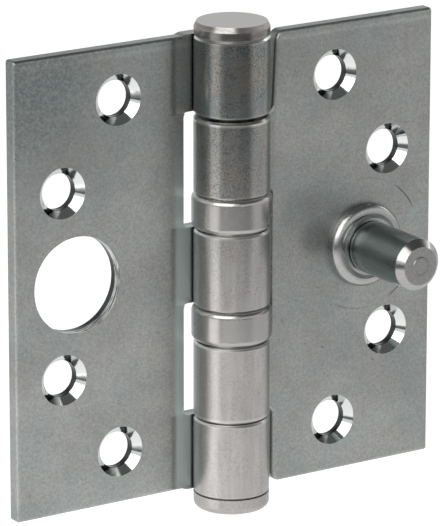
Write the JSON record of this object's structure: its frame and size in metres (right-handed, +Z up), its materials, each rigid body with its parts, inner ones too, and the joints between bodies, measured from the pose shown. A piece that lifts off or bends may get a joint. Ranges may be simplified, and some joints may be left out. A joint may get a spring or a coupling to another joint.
{
  "type": "ball bearing butt hinge",
  "caption": "Plated steel butt hinge, open flat: countersunk leaves on a knuckled barrel with ball bearings, a security stud on one leaf and the hole that it enters in the other.",
  "frame": {"origin": "on the pin's axis, halfway up the barrel", "axes": "+Z up the pin towards its head, +X towards the door leaf with the hinge open flat, +Y towards the leaves' backs, so the countersunk faces and the stud look along -Y"},
  "size_m": [0.0896, 0.0281, 0.0947],
  "materials": {
    "leaf_steel": "bright zinc plate, satin",
    "barrel_steel": "bright zinc plate, turned",
    "stud_steel": "bright zinc plate, turned",
    "shell_steel": "bright zinc plate, drawn",
    "race_steel": "ground",
    "cage_brass": "satin"
  },
  "bodies": {
    "frame_side": {"frame_leaf": "leaf_steel", "hinge_pin": "barrel_steel", "bottom_cap": "barrel_steel", "upper_bearing_lower_race": "race_steel", "lower_bearing_shell": "shell_steel", "lower_bearing_upper_race": "race_steel"},
    "door_side": {"door_leaf": "leaf_steel", "stud": "stud_steel", "stud_collar": "stud_steel", "upper_bearing_shell": "shell_steel", "upper_bearing_upper_race": "race_steel", "lower_bearing_lower_race": "race_steel"},
    "upper_ball_ring": {"upper_bearing_balls": "race_steel", "upper_bearing_cage": "cage_brass"},
    "lower_ball_ring": {"lower_bearing_balls": "race_steel", "lower_bearing_cage": "cage_brass"}
  },
  "joints": [
    {"name": "door_swing", "type": "hinge", "parent": "frame_side", "child": "door_side", "pos_m": [0, 0, 0], "axis": [0, 0, 1], "range_deg": [-180, 105]},
    {"name": "upper_balls_roll", "type": "hinge", "parent": "frame_side", "child": "upper_ball_ring", "pos_m": [0, 0, 0.01078], "axis": [0, 0, 1], "range_deg": [-90, 52.5]},
    {"name": "lower_balls_roll", "type": "hinge", "parent": "frame_side", "child": "lower_ball_ring", "pos_m": [0, 0, -0.01108], "axis": [0, 0, 1], "range_deg": [-90, 52.5]}
  ],
  "couplings": [
    {"joint": "upper_balls_roll", "follows": "door_swing", "ratio": 0.5},
    {"joint": "lower_balls_roll", "follows": "door_swing", "ratio": 0.5}
  ]
}
